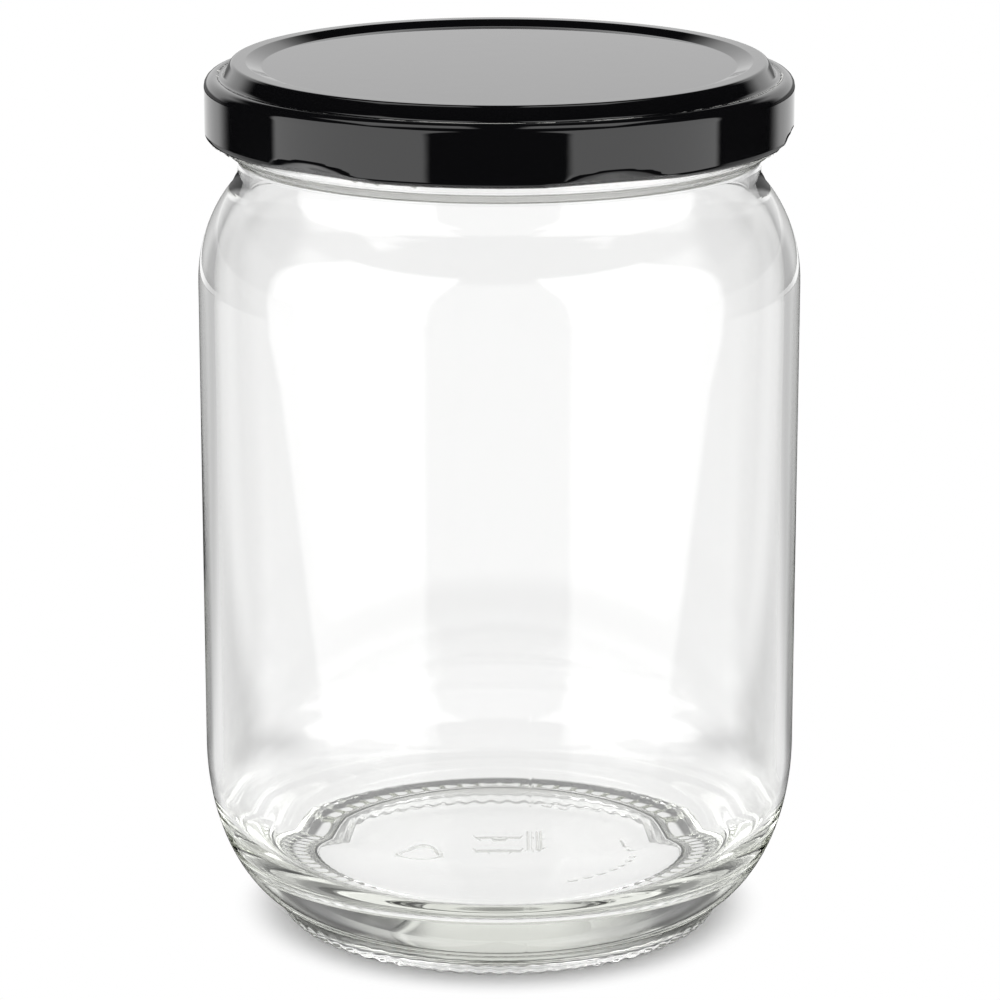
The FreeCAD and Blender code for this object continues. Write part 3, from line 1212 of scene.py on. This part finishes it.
@dataclass(frozen=True)
class Surround:
    """White surround, with the soft boxes that gloss and clear glass show.

    Azimuths and elevations are in degrees, and brightness 1 is white.
    """

    box_light: float = 2.0
    box_rows: Stretch = Stretch(-18.5, 34.0, 1.2)
    right_box: Stretch = Stretch(27.0, 93.0, 2.0)
    left_box: Stretch = Stretch(-97.0, -28.0, 2.0)
    box_lean_from: float = -12.5
    box_lean: float = 4.7
    box_corner: Stretch = Stretch(0.0, 38.0)
    box_corner_inner: float = 12.0
    box_corner_outer: float = 30.0
    top_right: Stretch = Stretch(0.09, 0.54, 0.03)
    top_left: Stretch = Stretch(-0.62, -0.10, 0.03)
    top_depth: Stretch = Stretch(-0.30, 0.20, 0.06)
    top_height: Stretch = Stretch(0.5, 0.6)
    rear: Stretch = Stretch(128.0, 142.0)
    rear_light: float = 1.06
    rear_strip: Stretch = Stretch(-10.9, -9.6, 0.1)
    rear_dim: Stretch = Stretch(-9.6, -7.0)
    rear_dim_share: float = 0.2
    rear_clear: Stretch = Stretch(-2.0, 3.0)
    rear_top: Stretch = Stretch(22.0, 32.0)
    side: Stretch = Stretch(98.0, 152.0, 4.0)
    side_top: Stretch = Stretch(-11.2, -10.9)
    side_light: float = 0.6
    table: Stretch = Stretch(-74.0, -45.0, 6.0)
    table_light: float = 1.2
    darkest: float = 0.002
    sheen_rows: Stretch = Stretch(-70.0, -50.0)
    sheen_light: float = 0.95
    wings: Stretch = Stretch(96.0, 166.0, 7.0)
    wings_rows: Stretch = Stretch(-8.0, 2.0)
    wings_loss: float = 0.5
    right_gap: Stretch = Stretch(100.0, 166.0, 4.0)
    left_gap: Stretch = Stretch(-157.0, -100.0, 4.0)
    gap_rows: Stretch = Stretch(12.0, 18.0)
    gap_loss: float = 0.85
    above: Stretch = Stretch(27.0, 35.0)
    above_loss: float = 0.86

    def boxes(self, azimuth: Value, elevation: Value) -> Value:
        """Two upright soft boxes, rounded at the top and narrower towards the foot.

        Args:
            azimuth: Azimuth of the direction.
            elevation: Elevation of the direction.

        Returns:
            Their brightness.
        """
        lean = (self.box_lean_from - elevation).at_least(0.0) * self.box_lean
        corner = self.box_corner.passed(elevation)
        corner = corner * corner
        inner = corner * self.box_corner_inner
        outer = lean + corner * self.box_corner_outer
        right = azimuth.within(self.right_box.low - inner, self.right_box.high - outer,
                               self.right_box.soft)
        left = azimuth.within(self.left_box.low + outer, self.left_box.high + inner,
                              self.left_box.soft)
        return (right + left) * self.box_rows.holds(elevation) * self.box_light

    def overhead(self, x: Value, y: Value, z: Value) -> Value:
        """Two flat soft boxes overhead.

        Args:
            x: Share of the direction towards +X.
            y: Share towards +Y.
            z: Share upward.

        Returns:
            Their brightness.
        """
        return ((self.top_right.holds(x) + self.top_left.holds(x)) * self.top_depth.holds(y)
                * self.top_height.passed(z) * self.box_light)

    def mirrored(self, turn: Value, elevation: Value) -> Value:
        """What gloss shows besides the boxes: the wall behind, the sides and the table.

        Args:
            turn: Azimuth without its sign.
            elevation: Elevation of the direction.

        Returns:
            Its brightness.
        """
        rear = self.rear.passed(turn)
        clear = (self.rear_dim_share * self.rear_dim.passed(elevation)
                 + (1 - self.rear_dim_share) * self.rear_clear.passed(elevation))
        wall = self.rear_strip.holds(elevation) + clear * (1 - self.rear_top.passed(elevation))
        side = (1 - self.side_top.passed(elevation)) * self.side.holds(turn)
        return (rear * wall * self.rear_light + side * self.side_light + self.darkest)

    def seen_through(self, azimuth: Value, turn: Value, elevation: Value) -> Value:
        """What clear glass shows besides the boxes.

        Args:
            azimuth: Azimuth of the direction.
            turn: Azimuth without its sign.
            elevation: Elevation of the direction.

        Returns:
            Its brightness.
        """
        sheen = Sheen().at(turn) * self.sheen_rows.passed(elevation) * self.sheen_light
        wings = self.wings_rows.passed(elevation) * self.wings.holds(turn)
        gaps = self.right_gap.holds(azimuth) + self.left_gap.holds(azimuth)
        return (sheen * (1 - self.wings_loss * wings)
                * (1 - self.gap_loss * gaps * self.gap_rows.passed(elevation))
                * (1 - self.above_loss * self.above.passed(elevation)))

    def make(self) -> None:
        """Set the surround: plain for the camera and for what lights matt surfaces."""
        world = bpy.data.worlds.new("surround")
        bpy.context.scene.world = world
        world.use_nodes = True
        nodes = Nodes(world.node_tree)
        direction = nodes.add("ShaderNodeTexCoord", output="Generated")
        x, y, z = nodes.several("ShaderNodeSeparateXYZ", (0, 1, 2), {0: direction})
        azimuth = x.degrees("ARCTAN2", 0 - y)
        turn = azimuth.size()
        elevation = z.degrees("ARCSINE")
        table = self.table.holds(elevation) * (1 - self.rear.passed(turn)) * self.table_light
        lights = self.boxes(azimuth, elevation) + self.overhead(x, y, z) + table
        camera, glossy, passing, diffuse = nodes.several(
            "ShaderNodeLightPath",
            ("Is Camera Ray", "Is Glossy Ray", "Is Transmission Ray", "Diffuse Depth"))
        scattered = diffuse.rise(0.2, 0.8)
        through = lights + self.seen_through(azimuth, turn, elevation)
        gloss = glossy * (lights + self.mirrored(turn, elevation)) + (1 - glossy)
        seen = passing * through + (1 - passing) * gloss
        strength = camera + (1 - camera) * (scattered + (1 - scattered) * seen)
        light = nodes.add("ShaderNodeBackground", {}, {"Color": (1, 1, 1, 1),
                                                       "Strength": strength})
        nodes.add("ShaderNodeOutputWorld", {}, {"Surface": light})


@dataclass(frozen=True)
class Studio:
    """Floor, surround and camera."""

    sideways: float = 0.1 * MM
    distance: float = 628.7 * MM
    eye_height: float = 233.9 * MM
    pitch: float = 15.22
    sensor_width: float = 36.0
    lens_in_widths: float = 4.384
    bounces: int = 32

    def camera(self) -> None:
        """Place the camera."""
        deselect()
        bpy.ops.object.camera_add(location=(self.sideways, -self.distance, self.eye_height),
                                  rotation=(math.radians(90 - self.pitch), 0, 0))
        view = bpy.context.object
        view.name = "camera"
        view.data.sensor_width = self.sensor_width
        view.data.lens = self.sensor_width * self.lens_in_widths
        view.data.clip_start = 0.01
        view.data.clip_end = 50.0
        bpy.context.scene.camera = view

    def make(self) -> None:
        """Set up everything round the object."""
        Floor().make()
        Surround().make()
        self.camera()
        scene = bpy.context.scene
        scene.view_settings.view_transform = "Standard"
        scene.cycles.max_bounces = self.bounces
        scene.cycles.glossy_bounces = self.bounces
        scene.cycles.transmission_bounces = self.bounces


def half_width(node: str) -> float:
    """Largest radius that stays inside a node's box on every side.

    Args:
        node: Name of the CAD node.

    Returns:
        The radius.
    """
    low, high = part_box(node)
    return min(-low[0], high[0], -low[1], high[1])


def main() -> None:
    """Build the looks in order."""
    logging.basicConfig(level=logging.INFO, format="%(message)s")
    jar_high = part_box("jar")[1]
    lid_low, lid_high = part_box("lid")
    seal_low, seal_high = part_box("seal")
    glass = GlassBody(radius=half_width("jar"), height=jar_high[2])
    dress(glass.make(), [ClearGlass().make()], "jar")
    lid = SteelLid(radius=half_width("lid"), top=lid_high[2], base=lid_low[2])
    dress(lid.make(), [BlackLacquer().make(), InnerLacquer().make()], "lid")
    ring = SealingRing(inner=glass.bore_radius + 0.2 * MM, outer=half_width("seal"),
                       low=seal_low[2], high=seal_high[2])
    dress(ring.make(), [LiningCompound().make()], "seal")
    Studio().make()


if __name__ == "__main__":
    main()
